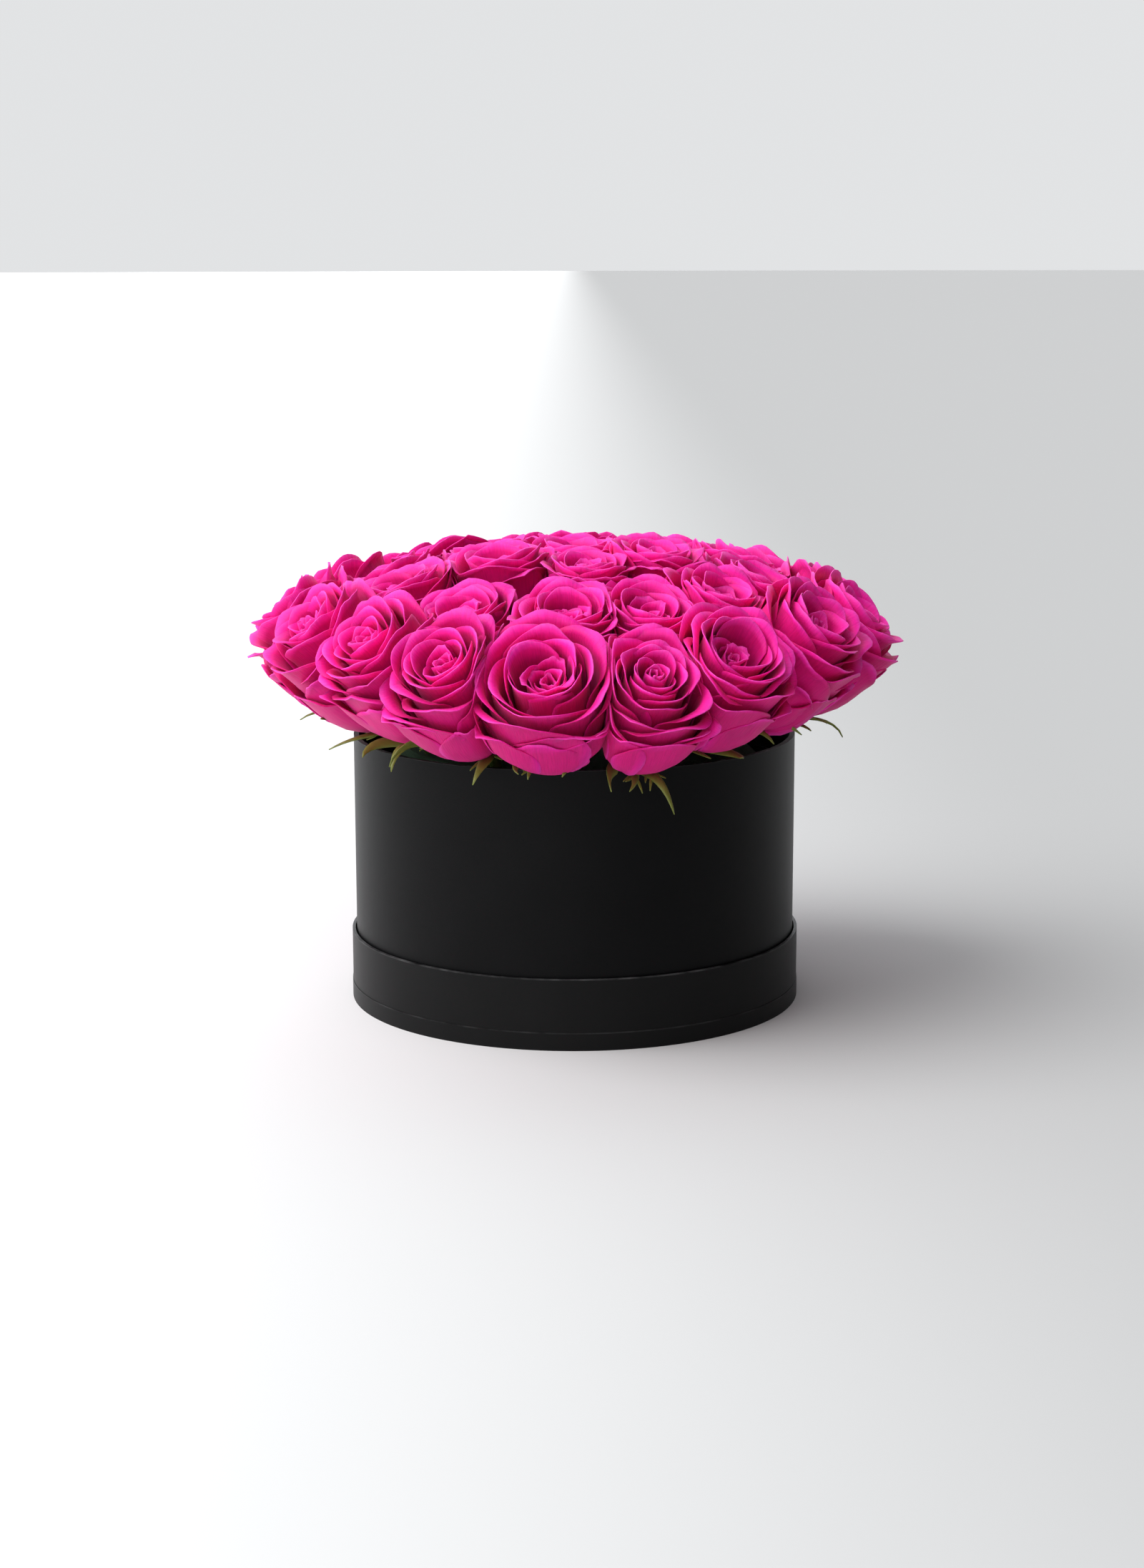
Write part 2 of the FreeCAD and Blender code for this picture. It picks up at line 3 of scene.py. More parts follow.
import bpy
import numpy as np
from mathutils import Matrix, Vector


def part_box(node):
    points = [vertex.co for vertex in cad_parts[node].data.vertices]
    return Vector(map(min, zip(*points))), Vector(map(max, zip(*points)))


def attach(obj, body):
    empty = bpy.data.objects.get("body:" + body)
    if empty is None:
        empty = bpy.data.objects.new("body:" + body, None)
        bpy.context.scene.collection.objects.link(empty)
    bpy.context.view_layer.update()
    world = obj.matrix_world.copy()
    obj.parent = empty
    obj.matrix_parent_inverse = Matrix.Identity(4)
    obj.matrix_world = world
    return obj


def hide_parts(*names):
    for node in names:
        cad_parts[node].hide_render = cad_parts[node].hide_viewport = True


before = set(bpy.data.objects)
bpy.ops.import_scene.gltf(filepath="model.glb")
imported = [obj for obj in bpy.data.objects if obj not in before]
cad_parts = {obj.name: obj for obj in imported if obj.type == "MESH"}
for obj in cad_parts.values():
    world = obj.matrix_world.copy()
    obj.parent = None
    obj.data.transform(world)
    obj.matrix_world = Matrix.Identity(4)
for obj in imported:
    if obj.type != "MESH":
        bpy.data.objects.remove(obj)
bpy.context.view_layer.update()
bpy.ops.object.select_all(action="DESELECT")

# ---- Card boards ----
# Grey card: a bent tube for the box's wall, a bent strip for the lid's rim, and round discs for the floor
# and the lid's face. They are glued edge to face, and paper hides them inside and out.


def value_group(name, inputs, outputs):
    """An empty node group with number inputs, each with its usual value, and number outputs."""
    group = bpy.data.node_groups.new(name, "ShaderNodeTree")
    for label, usual in inputs.items():
        socket = group.interface.new_socket(label, in_out="INPUT", socket_type="NodeSocketFloat")
        socket.default_value = usual
    for label in outputs:
        group.interface.new_socket(label, in_out="OUTPUT", socket_type="NodeSocketFloat")
    return group, group.nodes.new("NodeGroupInput"), group.nodes.new("NodeGroupOutput")


def add(tree, kind, **settings):
    """A node with its settings. A name that is a socket's is given its value or linked to it."""
    node = tree.nodes.new(kind)
    for name, value in settings.items():
        label = name.replace("_", " ")
        if hasattr(node, name):
            setattr(node, name, value)
        elif isinstance(value, bpy.types.NodeSocket):
            tree.links.new(value, node.inputs[label])
        else:
            node.inputs[label].default_value = value
    return node


def add_group(tree, group, **inputs):
    """A node group put into a material with its own values."""
    node = tree.nodes.new("ShaderNodeGroup")
    node.node_tree = group
    for name, value in inputs.items():
        node.inputs[name.replace("_", " ")].default_value = value
    return node


def remap(tree, value, low, high, start=0.0, end=1.0, smooth=False):
    """Turns values from start to end into values from low to high."""
    kind = "SMOOTHSTEP" if smooth else "LINEAR"
    node = add(tree, "ShaderNodeMapRange", interpolation_type=kind, Value=value,
               From_Min=start, From_Max=end, To_Min=low, To_Max=high)
    return node.outputs[0]


def blend_colours(tree, share, first, second):
    """Blends two colours by a share. Each is three numbers or a socket."""
    node = add(tree, "ShaderNodeMix", data_type="RGBA", Factor=share)
    ends = [socket for socket in node.inputs if socket.type == "RGBA"]
    for socket, colour in zip(ends, (first, second)):
        if isinstance(colour, bpy.types.NodeSocket):
            tree.links.new(colour, socket)
        else:
            socket.default_value = (*colour, 1)
    return next(socket for socket in node.outputs if socket.type == "RGBA")


def new_material(name):
    """An empty material, its node tree and its surface shader."""
    material = bpy.data.materials.new(name)
    material.use_nodes = True
    return material, material.node_tree, material.node_tree.nodes["Principled BSDF"]


def add_relief(tree, surface, height, strength, depth):
    """Raises a pattern on a surface as a fine relief."""
    bump = add(tree, "ShaderNodeBump", Height=height, Strength=strength, Distance=depth)
    tree.links.new(bump.outputs[0], surface.inputs["Normal"])


def fibre_group():
    """Short felted fibres and slow clouding of a sheet of paper or card, on Object coordinates."""
    group, given, result = value_group("paper_fibres", {"Fibre Size": 0.0004}, ["Fibres", "Clouding"])
    place = add(group, "ShaderNodeTexCoord").outputs["Object"]
    fineness = add(group, "ShaderNodeMath", operation="DIVIDE")
    fineness.inputs[0].default_value = 1
    group.links.new(given.outputs["Fibre Size"], fineness.inputs[1])
    fibres = add(group, "ShaderNodeTexNoise", Vector=place, Scale=fineness.outputs[0], Detail=3.0,
                 Distortion=1.5)
    clouding = add(group, "ShaderNodeTexNoise", Vector=place, Scale=38.0, Detail=4.0)
    group.links.new(fibres.outputs["Fac"], result.inputs["Fibres"])
    group.links.new(clouding.outputs["Fac"], result.inputs["Clouding"])
    return group


PAPER_FIBRES = fibre_group()
UNEVEN_SHEEN = 0.06


def paper_material(name, dark, pale, rough, fibre_size, relief):
    """A paper or card: two near colours clouded together, with its fibres as a fine relief."""
    material, tree, surface = new_material(name)
    fibres = add_group(tree, PAPER_FIBRES, Fibre_Size=fibre_size)
    colour = blend_colours(tree, fibres.outputs["Clouding"], dark, pale)
    tree.links.new(colour, surface.inputs["Base Color"])
    sheen = remap(tree, fibres.outputs["Fibres"], rough - UNEVEN_SHEEN, rough + UNEVEN_SHEEN)
    tree.links.new(sheen, surface.inputs["Roughness"])
    add_relief(tree, surface, fibres.outputs["Fibres"], 0.35, relief)
    surface.inputs["Specular IOR Level"].default_value = 0.10
    return material


def finish_node(node, material):
    """Gives a CAD node its material."""
    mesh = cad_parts[node].data
    mesh.materials.clear()
    mesh.materials.append(material)


BOARD = paper_material("grey_board", (0.30, 0.27, 0.23), (0.36, 0.33, 0.28), 0.8, 0.0006, 0.00008)
for node in ("lid_board", "lid_rim_band", "wall_board", "floor_board"):
    finish_node(node, BOARD)

# ---- Covering paper ----
# Black matt art paper glued over the outside of the lid and the box. It is folded over the rim's and the
# mouth's edges and under the floor. The folds are painted paler, partly as rubbed wear and partly as a
# painted highlight along the sharp edges, the lid's more than the box's. The lid's paper is painted paler
# overall than the box's, as a painted reflection of the pale floor.


def wear_and_highlight_group():
    """The rubbed line along a fold, which is also a painted highlight along its edge: a thin patchy band at
    one height above the ground.
    """
    group, given, result = value_group("fold_wear_and_highlight", {"Height": 0.0, "Width": 0.0004}, ["Wear"])
    place = add(group, "ShaderNodeTexCoord").outputs["Object"]
    height = add(group, "ShaderNodeSeparateXYZ", Vector=place)
    away = add(group, "ShaderNodeMath", operation="SUBTRACT")
    group.links.new(height.outputs["Z"], away.inputs[0])
    group.links.new(given.outputs["Height"], away.inputs[1])
    distance = add(group, "ShaderNodeMath", operation="ABSOLUTE", Value=away.outputs[0])
    band = remap(group, distance.outputs[0], 1, 0, end=given.outputs["Width"], smooth=True)
    patches = add(group, "ShaderNodeTexNoise", Vector=place, Scale=90.0, Detail=5.0)
    patchy = remap(group, patches.outputs["Fac"], 0, 1, start=0.34, end=0.70)
    pale_band = add(group, "ShaderNodeMath", operation="MULTIPLY")
    group.links.new(band, pale_band.inputs[0])
    group.links.new(patchy, pale_band.inputs[1])
    group.links.new(pale_band.outputs[0], result.inputs["Wear"])
    return group


FOLD_WEAR_AND_HIGHLIGHT = wear_and_highlight_group()


def rubbed_and_highlit_paper(name, dark, pale, folds):
    """The black covering paper, paler along its folds as rubbed wear and a painted highlight, given as
    (height, width, paleness).
    """
    material = paper_material(name, dark, pale, 0.42, 0.0005, 0.00012)
    tree = material.node_tree
    colour_socket = tree.nodes["Principled BSDF"].inputs["Base Color"]
    for height, width, paleness in folds:
        # Painted highlight: each fold's pale band also stands for the light that a rounded paper edge would
        # catch.
        pale_band = add_group(tree, FOLD_WEAR_AND_HIGHLIGHT, Height=height, Width=width)
        so_far = colour_socket.links[0].from_socket
        worn_and_highlit = (paleness, paleness, paleness * 1.02)
        tree.links.new(blend_colours(tree, pale_band.outputs["Wear"], so_far, worn_and_highlit), colour_socket)
    return material


def top_of(node):
    """The height of a CAD node's highest point."""
    return max(vertex.co.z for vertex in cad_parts[node].data.vertices)


# Painted reflection: the lid's copy of the black paper is paler than the box's, standing for the pale floor
# reflected in it.
LID_PAPER_PAINTED_PALER = rubbed_and_highlit_paper("lid_cover_paper_painted_paler", (0.0042, 0.0042, 0.0044), (0.0066, 0.0066, 0.0068), (
    (top_of("lid_rim_wrap"), 0.0007, 0.070),
    (top_of("lid_face_paper"), 0.0006, 0.032),
    (0.0, 0.0005, 0.02),
))
BOX_PAPER = rubbed_and_highlit_paper("box_cover_paper", (0.0009, 0.0009, 0.0011), (0.0026, 0.0026, 0.0030), (
    (top_of("wall_wrap"), 0.0004, 0.030),
))
for node in ("lid_face_paper", "lid_rim_wrap"):
    finish_node(node, LID_PAPER_PAINTED_PALER)
for node in ("base_paper", "wall_wrap"):
    finish_node(node, BOX_PAPER)

# ---- Lining paper ----
# Thinner black paper glued inside the lid and over the inside of the box's wall and floor. It covers the
# ends of the covering paper that are folded in.
LINING = paper_material("lining_paper", (0.010, 0.010, 0.011), (0.016, 0.016, 0.017), 0.6, 0.0004, 0.00005)
for node in ("lid_lining", "wall_lining", "floor_lining"):
    finish_node(node, LINING)

# ---- Liner pot ----
# A watertight tub of thin black plastic, drawn over a former. It stands loose in the box and holds the
# wet foam, so that the card stays dry.


def pot_material():
    """Thin black plastic, hazed unevenly by handling."""
    material, tree, surface = new_material("pot_plastic")
    surface.inputs["Base Color"].default_value = (0.008, 0.008, 0.009, 1)
    surface.inputs["Specular IOR Level"].default_value = 0.22
    place = add(tree, "ShaderNodeTexCoord").outputs["Object"]
    haze = add(tree, "ShaderNodeTexNoise", Vector=place, Scale=90.0, Detail=5.0)
    tree.links.new(remap(tree, haze.outputs["Fac"], 0.28, 0.46), surface.inputs["Roughness"])
    return material


finish_node("liner_pot", pot_material())

# ---- Floral foam ----
# A soaked green block of fine open-celled foam, trimmed to the tub and shaved down round its top edge.
# Every stem is pushed into it.


def foam_material():
    """Dark green foam, wet in patches, with open pores."""
    material, tree, surface = new_material("floral_foam")
    place = add(tree, "ShaderNodeTexCoord").outputs["Object"]
    wet = add(tree, "ShaderNodeTexNoise", Vector=place, Scale=24.0, Detail=4.0)
    colour = blend_colours(tree, wet.outputs["Fac"], (0.010, 0.042, 0.018), (0.028, 0.090, 0.038))
    tree.links.new(colour, surface.inputs["Base Color"])
    surface.inputs["Roughness"].default_value = 0.9
    pores = add(tree, "ShaderNodeTexVoronoi", Vector=place, Scale=2200.0)
    add_relief(tree, surface, pores.outputs["Distance"], 0.8, 0.0004)
    return material


finish_node("foam_block", foam_material())

# ---- Stems ----
# Fresh green rose stems, cut short and pushed slantwise into the foam. Each thickens to a hip under its
# flower.


def mottle_group():
    """The streaks and mottling of a green stem or leaf, on Object coordinates."""
    group, given, result = value_group("green_mottle", {"Streaks": 150.0}, ["Mottle"])
    place = add(group, "ShaderNodeTexCoord").outputs["Object"]
    mottle = add(group, "ShaderNodeTexNoise", Vector=place, Scale=given.outputs["Streaks"], Detail=4.0)
    group.links.new(mottle.outputs["Fac"], result.inputs["Mottle"])
    return group


GREEN_MOTTLE = mottle_group()


def green_material(name, dark, pale, streaks):
    """A fresh green, streaked and mottled between two colours."""
    material, tree, surface = new_material(name)
    mottle = add_group(tree, GREEN_MOTTLE, Streaks=streaks).outputs["Mottle"]
    tree.links.new(blend_colours(tree, mottle, dark, pale), surface.inputs["Base Color"])
    surface.inputs["Roughness"].default_value = 0.5
    add_relief(tree, surface, mottle, 0.4, 0.0003)
    return material


STEM_GREEN = green_material("stem", (0.040, 0.085, 0.016), (0.11, 0.17, 0.04), 150.0)
for ring in ("outer", "second", "third", "centre"):
    finish_node(f"stems_{ring}", STEM_GREEN)

# ---- Sepals ----
# Five narrow olive leaves grow from the round plate under each bloom. They lie along the petals, then hang
# over the box's edge or curl up at their points, and most have a few fine points at their sides.
LOOKS_UP = 0.6
UPRIGHT_REACH = 0.004
BLOOM_MIDDLE = 0.6


class RosePlace:
    """Where a bloom stands: its foot, axis, outward side, widest radius and height."""

    def __init__(self, node):
        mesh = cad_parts[node].data
        points = np.array([vertex.co for vertex in mesh.vertices])
        self.node = node
        self.axis = self.face_normal(mesh)
        along = points @ self.axis
        self.tall = along.max() - along.min()
        lowest = points[along < along.min() + 0.00002]
        self.foot = (lowest.max(0) + lowest.min(0)) / 2
        out = np.array([self.foot[0], self.foot[1], 0.0])
        if np.linalg.norm(out) < UPRIGHT_REACH:
            out = np.array([0.0, -1.0, 0.0])
        out -= self.axis * (out @ self.axis)
        self.out = out / np.linalg.norm(out)
        self.side = np.cross(self.axis, self.out)
        rest = points - self.foot
        self.radius = np.linalg.norm(rest - np.outer(rest @ self.axis, self.axis), axis=1).max()
        self.middle = self.foot + self.axis * self.tall * BLOOM_MIDDLE
        self.pressed = []

    def face_normal(self, mesh):
        """The direction of the bloom's open face, its largest flat part that looks up."""
        areas = {}
        for face in mesh.polygons:
            if face.normal.z > LOOKS_UP:
                key = tuple(round(part, 3) for part in face.normal)
                areas[key] = areas.get(key, 0) + face.area
        normal = np.array(max(areas, key=areas.get))
        return normal / np.linalg.norm(normal)

    def to_frame(self, points):
        """Points of the bloom's own frame, in millimetres, in the object's frame."""
        return self.foot + points @ np.stack([self.out, self.side, self.axis]) / 1000


SEPAL_GREEN = green_material("sepal", (0.10, 0.125, 0.012), (0.21, 0.235, 0.040), 170.0)
SEPAL_THICKNESS = 0.0005
SEPAL_STEPS = 10
SEPAL_ACROSS = np.linspace(-1, 1, 5)
MIDRIB = 2
SEPAL_FOLD = 0.45
SIDE_POINT_WIDTH = 0.0011
CALYX_RADIUS = 0.0050
CALYX_DROP = 0.0004
CALYX_RISE = 0.12
PLATE_TURNS = np.arange(20) * math.tau / 20
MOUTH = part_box("wall_wrap")[1].z
WALL_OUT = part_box("wall_board")[1].x + 0.0003
OVER_MOUTH = 0.0008
OFF_WALL = 0.0012
NEAR_EDGE = 0.005


def clear_of_wall(points):
    """Rests a row of a leaf on the box's edge, or lays it down the outside of the wall."""
    reach = np.hypot(points[:, 0], points[:, 1])
    low = points[:, 2] < MOUTH + OVER_MOUTH
    row_outside = reach.mean() >= WALL_OUT
    over_edge = low & (reach > WALL_OUT - NEAR_EDGE) & (not row_outside)
    points[over_edge, 2] = MOUTH + OVER_MOUTH
    inside = low & row_outside & (reach < WALL_OUT + OFF_WALL)
    points[inside, :2] *= ((WALL_OUT + OFF_WALL) / reach[inside])[:, None]
    return points


def grow_leaf(start, heading, face, length, width, hug, droop, curl, twist, sweep=0):
    """A tapering leaf from its foot, row by row, each row folded along the midrib.

    It first turns up toward its face by hug, then droops, curls toward its face and sweeps sideways.
    """
    heading = heading / np.linalg.norm(heading)
    face = face / np.linalg.norm(face)
    down = np.array([0, 0, -1])
    step = length / SEPAL_STEPS
    place = start.copy()
    rows = []
    for number in range(SEPAL_STEPS + 1):
        share = number / SEPAL_STEPS
        side = np.cross(heading, face)
        side /= np.linalg.norm(side)
        half = width / 2 * (1 - share) ** 0.75 * (0.85 + 0.5 * math.sin(math.pi * share)) + 0.00012
        across = side * math.cos(twist * share) + face * math.sin(twist * share)
        lift = np.cross(across, heading)
        folded = np.outer(np.abs(SEPAL_ACROSS) * half * SEPAL_FOLD, lift)
        rows.append(clear_of_wall(place + np.outer(SEPAL_ACROSS * half, across) - folded))
        place = rows[-1][MIDRIB].copy()
        early = max(0, 1 - share / 0.35)
        late = max(0, share - 0.25)
        heading = heading + face * (hug * early + curl * late * late) * step
        heading = heading + (side * sweep * max(0, share - 0.12) + down * droop * late) * step
        heading /= np.linalg.norm(heading)
        face = face - heading * (face @ heading)
        face /= np.linalg.norm(face)
        place = place + heading * step
    return np.concatenate(rows)


def strip_faces(rows, first):
    """The four-sided faces of a leaf of that many rows whose points start at that number."""
    width = len(SEPAL_ACROSS)
    return [
        (first + row * width + column, first + row * width + column + 1,
         first + (row + 1) * width + column + 1, first + (row + 1) * width + column)
        for row in range(rows - 1) for column in range(width - 1)
    ]


def side_point(leaf, number, place, draw):
    """A fine point that splits off a leaf's edge and heads for its tip."""
    row = int(draw.integers(2, 7)) * len(SEPAL_ACROSS)
    edge = 0 if number % 2 else len(SEPAL_ACROSS) - 1
    along = leaf[row + len(SEPAL_ACROSS) + MIDRIB] - leaf[row + MIDRIB]
    outward = leaf[row + edge] - leaf[row + MIDRIB]
    heading = along / np.linalg.norm(along) + outward / np.linalg.norm(outward) * 0.7
    return grow_leaf(
        leaf[row + edge] - outward * 0.2, heading, place.axis, length=draw.uniform(0.004, 0.008),
        width=SIDE_POINT_WIDTH, hug=0, droop=draw.uniform(0, 200), curl=draw.uniform(-200, 200), twist=0,
    )


# Leaves that hang or curl in a way of their own, by bloom and number. The angle is from the bloom's
# outward side, in radians. Hug, droop, curl and sweep are turns for each metre of leaf.
SEPAL_TRAITS = {
    ("bloom_outer_01", 0): {"angle": 0.55, "length": 0.032, "width": 0.0085, "droop": 60, "sweep": 67},
    ("bloom_outer_01", 1): {"angle": -0.75, "length": 0.034, "width": 0.0062, "droop": 30, "sweep": -84},
    ("bloom_outer_02", 0): {
        "angle": 0.25, "length": 0.043, "width": 0.0074, "droop": 200, "curl": -40,
        "twist": 0.5, "sweep": -25,
    },
    ("bloom_outer_02", 1): {"angle": -0.10, "length": 0.030, "width": 0.0050, "droop": 60, "sweep": 63},
    ("bloom_outer_03", 0): {"angle": 0.45, "length": 0.038, "width": 0.0085, "droop": 20, "sweep": 76},
    ("bloom_outer_04", 0): {"angle": -0.50, "length": 0.040, "width": 0.0080, "droop": 20, "sweep": -59},
    ("bloom_outer_04", 1): {"angle": 0.40, "length": 0.044, "droop": -40, "curl": 120, "sweep": 50},
    ("bloom_outer_05", 0): {"angle": -0.30, "length": 0.042, "width": 0.0050, "droop": 60, "sweep": -50},
    ("bloom_outer_13", 0): {"angle": 0.10, "length": 0.046, "width": 0.0054, "droop": -40, "sweep": -50},
    ("bloom_outer_13", 1): {"angle": 0.70, "length": 0.042, "droop": 40, "curl": -40, "sweep": 42},
    ("bloom_outer_14", 0): {"angle": -0.40, "length": 0.044, "width": 0.0060, "droop": 20, "sweep": -67},
    ("bloom_outer_14", 1): {"angle": 0.40, "length": 0.040, "width": 0.0090, "droop": 50, "sweep": 80},
    ("bloom_outer_15", 0): {"angle": 0.00, "length": 0.036, "width": 0.0080, "droop": 230, "curl": 0},
    ("bloom_outer_15", 1): {"angle": 0.60, "length": 0.044, "width": 0.0090, "droop": 50, "sweep": 80},
    ("bloom_outer_15", 4): {"angle": -0.60, "length": 0.042, "width": 0.0085, "droop": 30, "sweep": -71},
    ("bloom_outer_16", 0): {"angle": 0.55, "length": 0.034, "width": 0.0070, "droop": 50, "sweep": 67},
}


def calyx_leaves(place, draw):
    """A bloom's five sepals with their side points, as a list of leaves."""
    leaves = []
    outer = "outer" in place.node
    start_turn = draw.uniform(-0.25, 0.25) + math.pi / 5
    for number in range(5):
        angle = start_turn + number * math.radians(72) + draw.normal(0, 0.12)
        if outer and number == 0:
            angle = draw.uniform(-0.5, 0.5)
        shape = {
            "angle": angle,
            "length": draw.uniform(0.025, 0.035) if outer else draw.uniform(0.016, 0.022),
            "width": draw.uniform(0.0058, 0.0078),
            "hug": draw.uniform(55, 100),
            "droop": draw.uniform(-40, 90),
            "curl": draw.choice([-1, 1]) * draw.uniform(0, 160),
            "twist": draw.uniform(-0.9, 0.9),
            "sweep": draw.choice([-1, 1]) * draw.uniform(15, 70) if outer else 0,
        }
        shape.update(SEPAL_TRAITS.get((place.node, number), {}))
        angle = shape.pop("angle")
        out = place.out * math.cos(angle) + place.side * math.sin(angle)
        start = place.foot + out * CALYX_RADIUS - place.axis * CALYX_DROP
        heading = out * math.cos(CALYX_RISE) + place.axis * math.sin(CALYX_RISE)
        leaf = grow_leaf(start, heading, place.axis, **shape)
        leaves.append(leaf)
        for point_number in range(draw.integers(0, 4)):
            leaves.append(side_point(leaf, point_number, place, draw))
    return leaves


def plate_edge(place, radius, height):
    """One edge of the round plate under a bloom, at a height over its foot."""
    outwards = np.outer(np.cos(PLATE_TURNS) * radius, place.out)
    sideways = np.outer(np.sin(PLATE_TURNS) * radius, place.side)
    return place.foot + outwards + sideways + place.axis * height


def thin_piece(name, points, faces):
    """A new object made of thin surfaces, with its place in its mesh."""
    mesh = bpy.data.meshes.new(name)
    mesh.from_pydata(points, [], faces)
    for face in mesh.polygons:
        face.use_smooth = True
    piece = bpy.data.objects.new(name, mesh)
    bpy.context.scene.collection.objects.link(piece)
    return piece


def thicken(piece, thickness):
    """Gives a thin surface its thickness, half to each side."""
    bpy.context.view_layer.objects.active = piece
    solidify = piece.modifiers.new("thickness", "SOLIDIFY")
    solidify.thickness = thickness
    solidify.offset = 0
    bpy.ops.object.modifier_apply(modifier=solidify.name)


rose_places = [RosePlace(node) for node in sorted(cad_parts) if node.startswith("bloom_")]
for ring in ("outer", "second", "third", "centre"):
    points, faces = [], []
    count = 0
    for number, place in enumerate(rose_places):
        if ring not in place.node:
            continue
        for leaf in calyx_leaves(place, np.random.default_rng(500 + number)):
            faces += strip_faces(len(leaf) // len(SEPAL_ACROSS), count)
            points.append(leaf)
            count += len(leaf)
        turns = len(PLATE_TURNS)
        points.append(plate_edge(place, 0.0054, -0.0014))
        points.append(plate_edge(place, 0.0070, -0.0004))
        for turn in range(turns):
            after = (turn + 1) % turns
            faces.append((count + turn, count + turns + turn, count + turns + after, count + after))
        count += 2 * turns
    leaves = thin_piece(f"sepal_leaves_{ring}", np.concatenate(points).tolist(), faces)
    thicken(leaves, SEPAL_THICKNESS)
    leaves.data.materials.append(SEPAL_GREEN)
    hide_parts(f"sepals_{ring}")
    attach(leaves, "insert")

# ---- Roses ----
# Each bloom is some thirty thin petals set in a spiral round one foot, the inner ones wrapped tight,
# the outer ones wide with their rims rolled back. It is pressed flat where it meets its neighbours.
PETAL_THICKNESS = 0.00045
PRESS_DEPTH = 0.006
PRESS_OVER = 0.002
PRESS_REACH = 0.004
SPIRAL_TURN = math.radians(137.5)
HEART_END = 0.22
FOOT_RADIUS = 1.0
FOOT_SPREAD = 5.6
RIM_WIDTH = 5
PETAL_COLUMNS = 17
PETAL_ROWS = 12
bpy.ops.mesh.primitive_grid_add(x_subdivisions=PETAL_COLUMNS - 1, y_subdivisions=PETAL_ROWS - 1, size=2)
blank = bpy.context.object
BLANK_POINTS = np.array([vertex.co for vertex in blank.data.vertices])
BLANK_FACES = np.array([face.vertices[:] for face in blank.data.polygons])
bpy.data.objects.remove(blank)


def cut_outline(corner):
    """The flat blank cut to a petal: across -1..1 and along 0..1, its top corners rounded."""
    across, along = BLANK_POINTS[:, 0], BLANK_POINTS[:, 1]
    along = np.sign(along) * np.abs(along) ** 0.85
    top = np.clip(along, 0, 1)
    narrowed = across * np.sqrt(1 - corner * top**3 / 2)
    lowered = np.where(along > 0, along * np.sqrt(1 - corner * across**2 * top / 2), along)
    return narrowed, (lowered + 1) / 2


def cup_side(shape):
    """The cup's side from foot to rim: its distance out, its height and the way along it."""
    climb = np.linspace(0, 1, 61)
    swell = np.sin(np.pi / 2 * np.minimum(climb / shape["belly"], 1)) ** shape["fullness"]
    neck = np.clip((climb - shape["belly"]) / (1 - shape["belly"]), 0, 1)
    wall = shape["foot"] + (shape["reach"] - shape["foot"]) * swell + shape["flare"] * neck**1.7
    height = shape["low"] + (shape["rim"] - shape["low"]) * climb
    way = np.concatenate([[0], np.cumsum(np.hypot(np.diff(wall), np.diff(height)))])
    return wall, height, way


def roll_back(shape, up, aside, side):
    """How far out and how high each point lies, with the petal's rim and corners rolled back."""
    wall, height, way = side
    total = way[-1]
    corners = 0.12 * total * aside**2 * shape["side_roll"]
    roll_start = total - shape["roll"] * (0.55 + 0.45 * np.minimum(aside / 0.6, 1)) - corners
    flat = np.minimum(up, roll_start)
    before, after = np.maximum(flat - 0.5, 0), np.minimum(flat + 0.5, total)
    slope = np.arctan2(
        np.interp(after, way, wall) - np.interp(before, way, wall),
        np.interp(after, way, height) - np.interp(before, way, height),
    )
    over = np.maximum(up - roll_start, 1e-6)
    bend = np.minimum(over / shape["curl"] * (0.6 + 0.4 * over / shape["roll"]), 3.4) / over
    out = np.interp(flat, way, wall) + (np.cos(slope) - np.cos(slope + bend * over)) / bend
    rise = np.interp(flat, way, height) + (np.sin(slope + bend * over) - np.sin(slope)) / bend
    return out, rise


def ruffles(shape, across, share):
    """The rim's slow waves and the finer ripples on them, outwards and upwards."""
    late = np.clip(share, 0, 1) ** 3
    ripple, waves, phase = across * np.pi, shape["waves"], shape["phase"]
    out = np.sin(ripple * waves + phase) * late
    out += 0.35 * np.sin(ripple * (2.6 + waves) + 3 * phase) * late**2
    rise = 0.8 * np.sin(ripple * (waves + 0.7) + 2 * phase) * late
    rise += 0.4 * np.sin(ripple * (3.7 + waves) + 5 * phase) * late**3
    return shape["wave"] * out, shape["wave"] * rise


